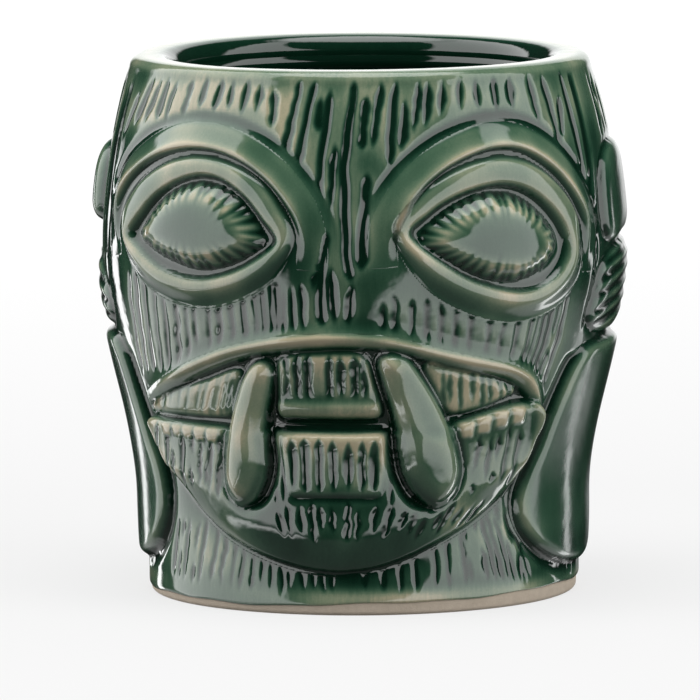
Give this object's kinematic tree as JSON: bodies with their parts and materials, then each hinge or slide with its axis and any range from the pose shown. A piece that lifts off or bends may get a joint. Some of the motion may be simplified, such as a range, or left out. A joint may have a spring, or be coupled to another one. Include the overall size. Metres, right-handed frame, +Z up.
{
  "type": "tiki mug",
  "caption": "Handleless ceramic drinking mug, its outside carved as a mask with almond eyes, arched brows, tusks and long-lobed ears, glazed green.",
  "frame": {"origin": "middle of the underside, where the foot ring stands on the table", "axes": "+Z up along the mug's axis, the face looks along -Y, and +X is on the right of someone who looks at the face"},
  "size_m": [0.0998, 0.0984, 0.1],
  "materials": {
    "wall_glaze": "translucent dark green glaze, dark in the grain and pale on its ridges, high gloss",
    "cup_glaze": "thick dark green glaze, high gloss",
    "bare_clay": "unglazed pinkish beige stoneware, matte",
    "eye_glaze": "translucent green glaze, high gloss",
    "tooth_glaze": "thin olive green glaze, high gloss",
    "tusk_glaze": "translucent green glaze, high gloss",
    "ridge_glaze": "thin olive beige glaze on rounded ridges, high gloss",
    "ear_glaze": "translucent green glaze, high gloss",
    "jaw_glaze": "translucent dark green glaze over carved grain, high gloss"
  },
  "bodies": {
    "root": {"cup_wall": "wall_glaze", "cup_floor": "wall_glaze", "foot_ring": "bare_clay", "liner_glaze": "cup_glaze", "left_eyeball": "eye_glaze", "right_eyeball": "eye_glaze", "left_eyelid": "ridge_glaze", "right_eyelid": "ridge_glaze", "left_brow": "ridge_glaze", "right_brow": "ridge_glaze", "upper_lip": "ridge_glaze", "left_upper_teeth": "tooth_glaze", "centre_upper_teeth": "tooth_glaze", "right_upper_teeth": "tooth_glaze", "jaw": "jaw_glaze", "left_lower_teeth": "tooth_glaze", "centre_lower_teeth": "tooth_glaze", "right_lower_teeth": "tooth_glaze", "left_tusk": "tusk_glaze", "right_tusk": "tusk_glaze", "left_ear_top": "ear_glaze", "right_ear_top": "ear_glaze", "left_ear_middle": "ear_glaze", "right_ear_middle": "ear_glaze", "left_ear_lobe": "ear_glaze", "right_ear_lobe": "ear_glaze"}
  },
  "joints": []
}
